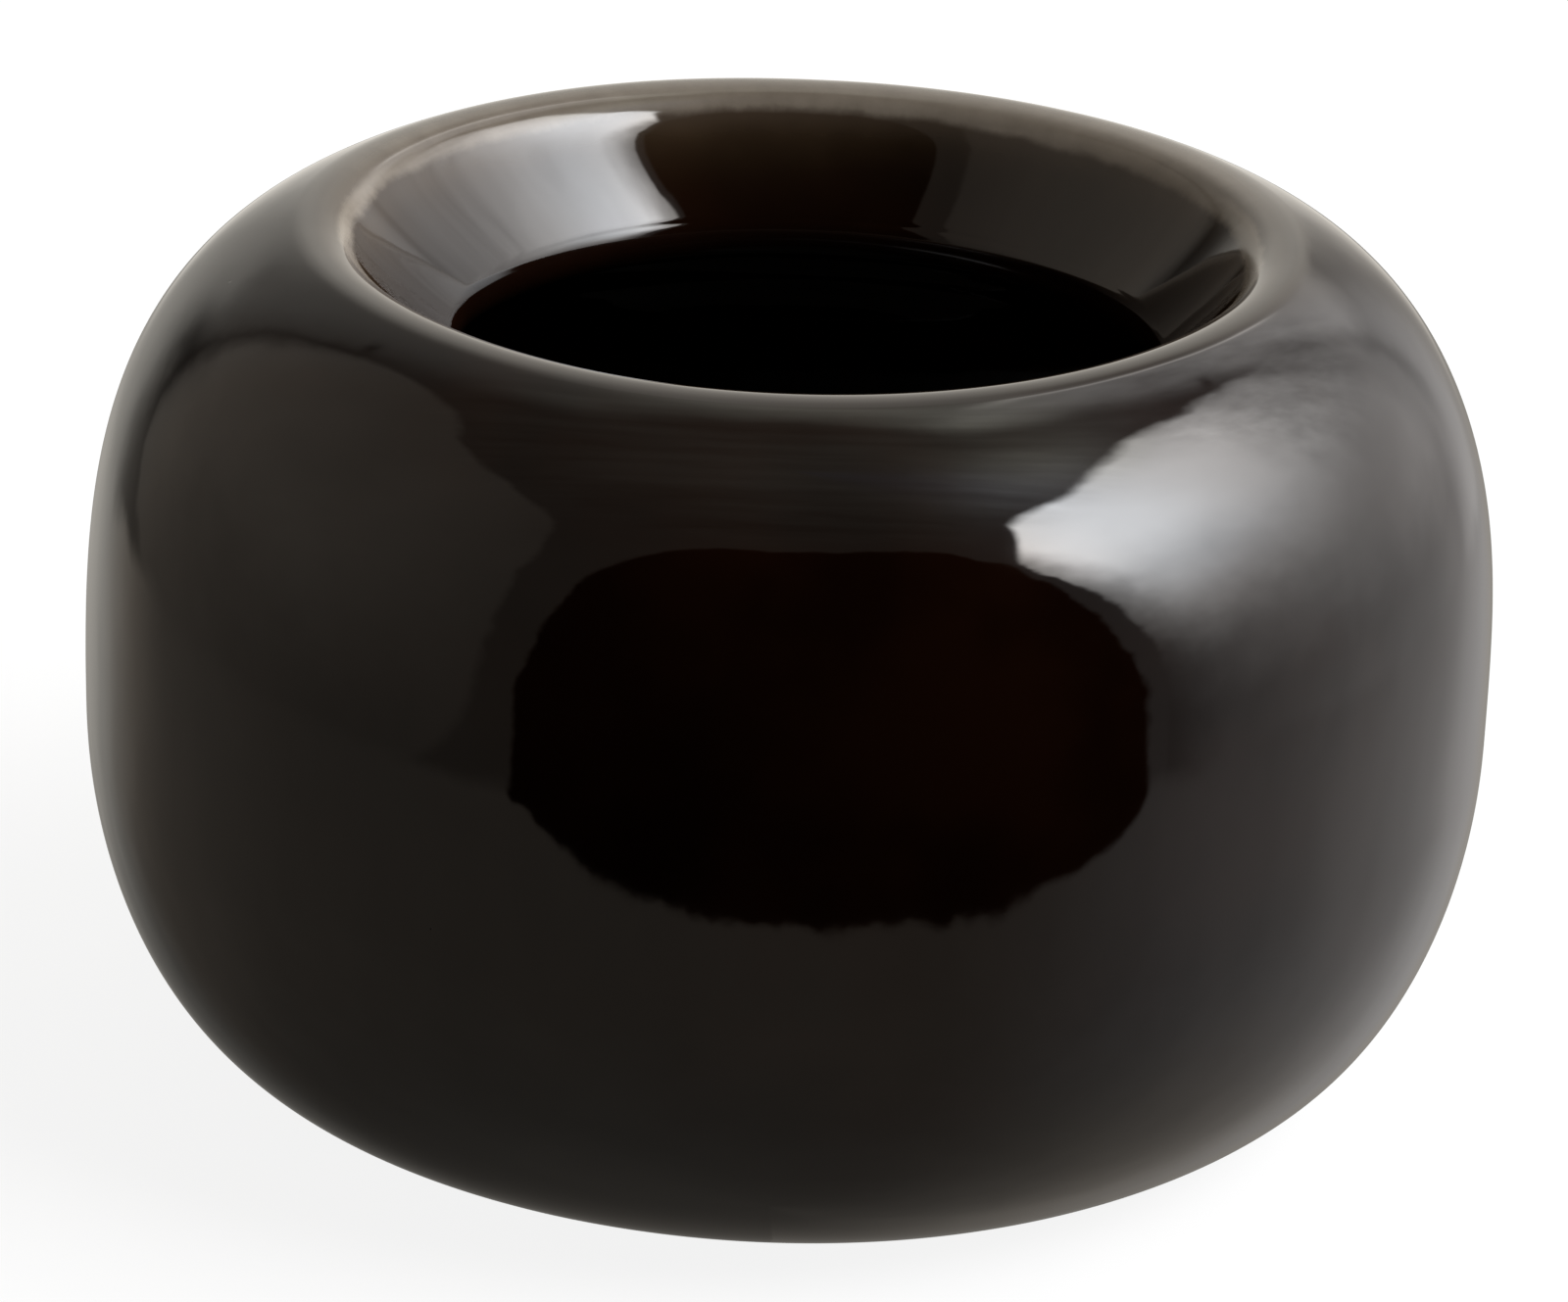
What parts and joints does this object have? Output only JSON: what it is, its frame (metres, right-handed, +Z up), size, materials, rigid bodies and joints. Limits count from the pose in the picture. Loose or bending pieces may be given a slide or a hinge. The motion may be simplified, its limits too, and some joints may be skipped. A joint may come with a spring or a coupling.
{
  "type": "squat glazed ceramic pot",
  "caption": "Squat, round-shouldered glossy black-brown glazed ceramic pot with a rolled lip, a funnelled mouth and a narrow throat over a hollow belly.",
  "frame": {"origin": "centre of the foot ring's standing face, on the ground", "axes": "+Z up along the pot's axis of turning; X and Y are any two level directions, since the pot is round"},
  "size_m": [0.11, 0.11, 0.0673],
  "materials": {
    "fired_clay": "bare fired stoneware, fine grain, seen only on the foot ring",
    "dark_glaze": "high gloss black-brown glaze, faintly uneven, small pinholes",
    "rim_glaze": "the same glaze run thin over the lip, where it breaks to a pale brown"
  },
  "bodies": {
    "root": {"clay_body": "fired_clay", "outer_glaze": "dark_glaze", "rim_glaze": "rim_glaze", "inner_glaze": "dark_glaze", "base_glaze": "dark_glaze"}
  },
  "joints": []
}
